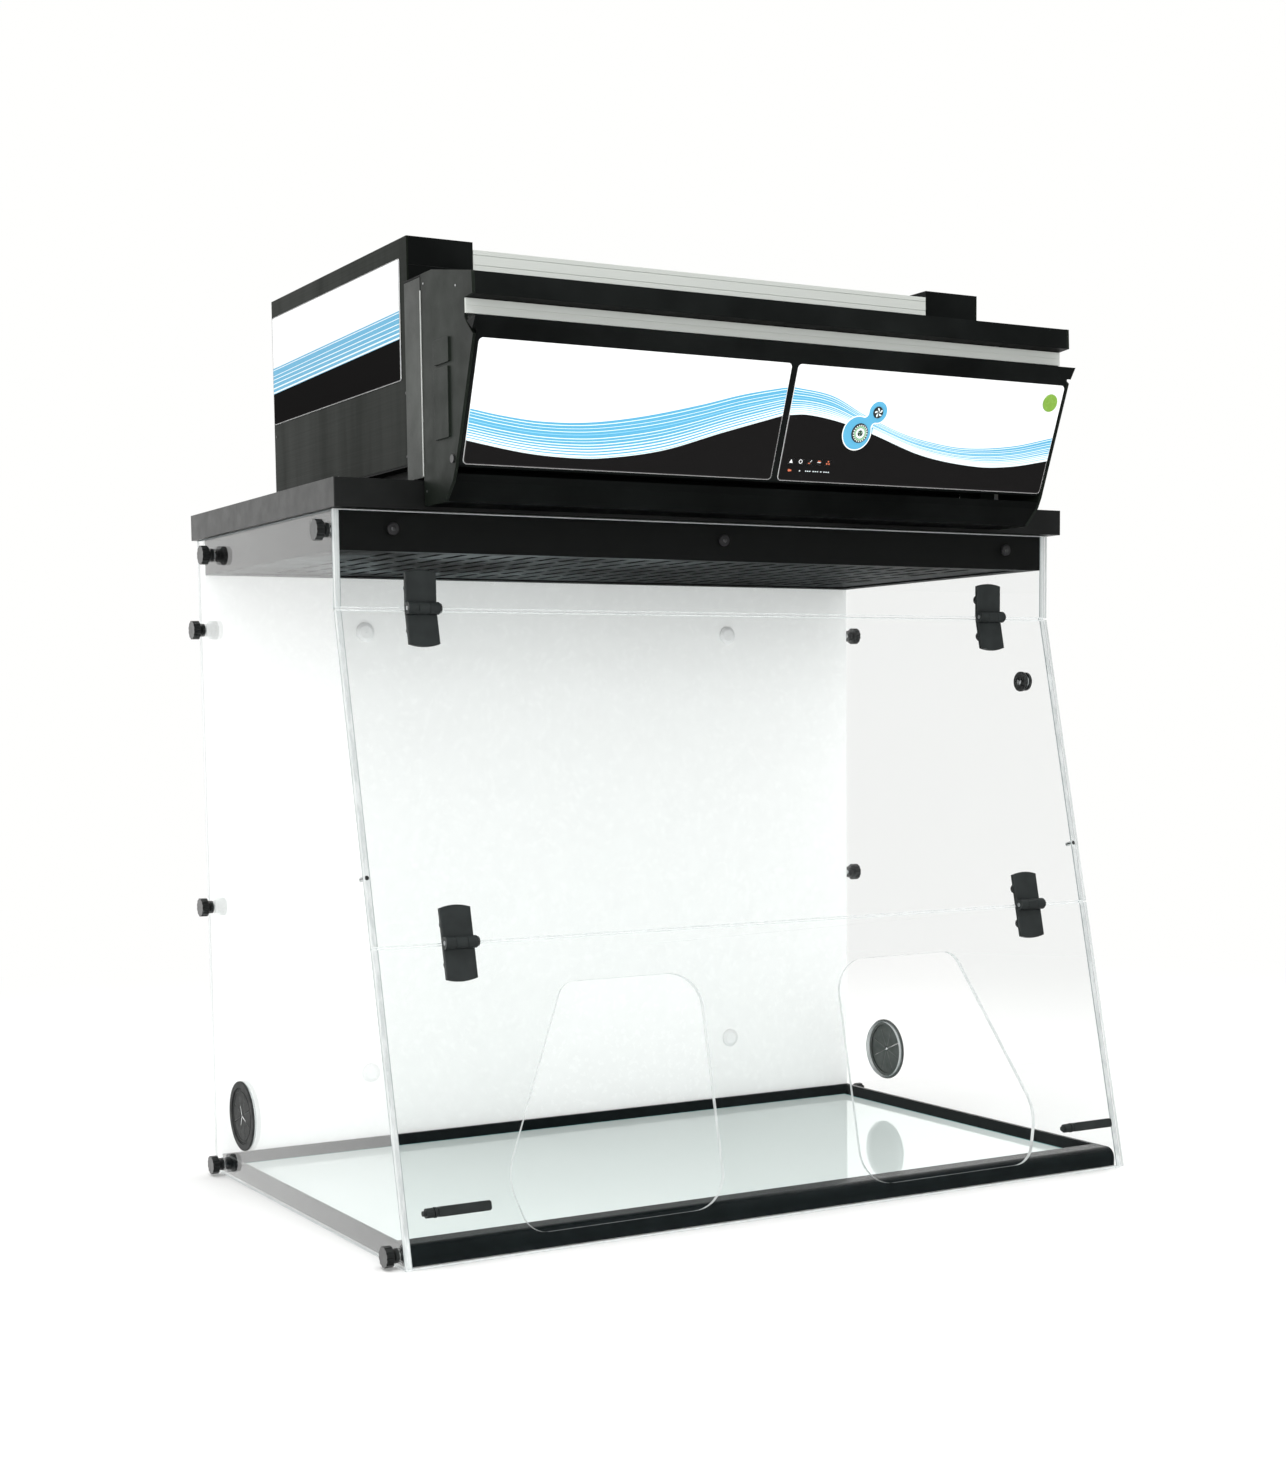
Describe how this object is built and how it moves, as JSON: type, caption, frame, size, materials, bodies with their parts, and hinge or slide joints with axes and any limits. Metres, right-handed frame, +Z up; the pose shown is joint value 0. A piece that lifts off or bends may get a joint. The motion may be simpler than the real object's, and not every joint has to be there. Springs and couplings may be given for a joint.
{
  "type": "fume hood",
  "caption": "Bench-top filtering fume hood: clear cabinet with folding front and hand ports, white back, black spill tray and a filter head with fan and tilting control door.",
  "frame": {"origin": "centre of the footprint at bench level, under the middle of the bounding box", "axes": "+X to the operator's right, +Y away from the operator (the operator stands on the -Y side), +Z up"},
  "size_m": [1.019, 0.624, 1.103],
  "materials": {
    "clear_acrylic": "polished, clear",
    "tempered_glass": "polished, faint green edge",
    "white_panel": "satin white",
    "white_cap": "gloss white",
    "black_tray": "gloss",
    "black_powder": "fine textured powder coat",
    "charcoal_powder": "brushed dark coat",
    "silver": "satin anodised",
    "hinge_plastic": "fine grained",
    "knob_plastic": "satin",
    "steel_pin": "bright",
    "dark_steel": "blackened",
    "port_rubber": "matt",
    "printed_face": "printed film",
    "key_plastic": "satin",
    "lamp_green": "translucent",
    "lamp_window": "translucent",
    "circuit_board": "solder mask",
    "filter_media": "fibrous",
    "carbon": null,
    "galvanised": "galvanised",
    "fan_plastic": "satin",
    "motor_alu": "cast"
  },
  "bodies": {
    "hood": {"back_caps": "white_cap", "back_panel": "white_panel", "base_sheet": "clear_acrylic", "cable_ports": "port_rubber", "carbon_bed": "carbon", "catch_pins": "dark_steel", "corner_posts": "charcoal_powder", "deck": "black_powder", "door_pivots": "dark_steel", "edge_strips": "silver", "exhaust_grille": "black_powder", "fan_motor": "motor_alu", "fan_partition": "galvanised", "filter_cassette": "galvanised", "front_rail": "silver", "head_back": "black_powder", "head_base": "black_powder", "head_cover": "black_powder", "head_front": "black_powder", "head_sides": "charcoal_powder", "hinge_leaves_strip": "hinge_plastic", "hinge_pins_top": "steel_pin", "intake_frame": "black_powder", "intake_plate": "black_powder", "mains_inlet": "knob_plastic", "module_chin": "black_powder", "module_side_left": "charcoal_powder", "module_side_right": "charcoal_powder", "module_top": "black_powder", "nuts_strip": "dark_steel", "prefilter": "filter_media", "sampling_port": "knob_plastic", "side_labels": "printed_face", "side_left": "clear_acrylic", "side_rails": "black_powder", "side_right": "clear_acrylic", "silver_strip": "silver", "spill_tray": "black_tray", "strip_screws": "dark_steel", "thumb_knobs": "knob_plastic", "top_strip": "clear_acrylic", "work_glass": "tempered_glass"},
    "upper_front": {"upper_panel": "clear_acrylic", "hinge_leaves_upper": "hinge_plastic", "hinge_leaves_middle": "hinge_plastic", "hinge_pins_low": "steel_pin", "nuts_upper": "dark_steel"},
    "lower_front": {"lower_panel": "clear_acrylic", "hinge_leaves_lower": "hinge_plastic", "nuts_lower": "dark_steel", "pull_bars": "knob_plastic"},
    "door": {"control_door": "black_powder", "overlay_left": "printed_face", "overlay_right": "printed_face", "status_lamp": "lamp_green", "indicator_lamps": "lamp_window", "control_board": "circuit_board"},
    "power_key": {"power_button": "key_plastic"},
    "speed_key": {"speed_button": "key_plastic"},
    "wheel": {"fan_wheel": "fan_plastic"}
  },
  "joints": [
    {"name": "upper_front_hinge", "type": "hinge", "parent": "hood", "child": "upper_front", "pos_m": [0, -0.158, 0.69838], "axis": [-1, 0, 0], "range_deg": [0, 60]},
    {"name": "lower_front_hinge", "type": "hinge", "parent": "upper_front", "child": "lower_front", "pos_m": [0, -0.23885, 0.33669], "axis": [-1, 0, 0], "range_deg": [0, 170]},
    {"name": "control_door_hinge", "type": "hinge", "parent": "hood", "child": "door", "pos_m": [0, -0.2483, 0.84979], "axis": [1, 0, 0], "range_deg": [0, 60]},
    {"name": "power_key_press", "type": "slide", "parent": "door", "child": "power_key", "axis": [0, 0.9371, 0.3492], "range_m": [0, 0.0012], "stiffness_N_per_m": 600, "springref_m": -0.0006},
    {"name": "speed_key_press", "type": "slide", "parent": "door", "child": "speed_key", "axis": [0, 0.9371, 0.3492], "range_m": [0, 0.0012], "stiffness_N_per_m": 500, "springref_m": -0.0006},
    {"name": "fan_wheel_spin", "type": "hinge", "parent": "hood", "child": "wheel", "pos_m": [0, 0.075, 1], "axis": [0, 0, 1], "continuous": true}
  ]
}
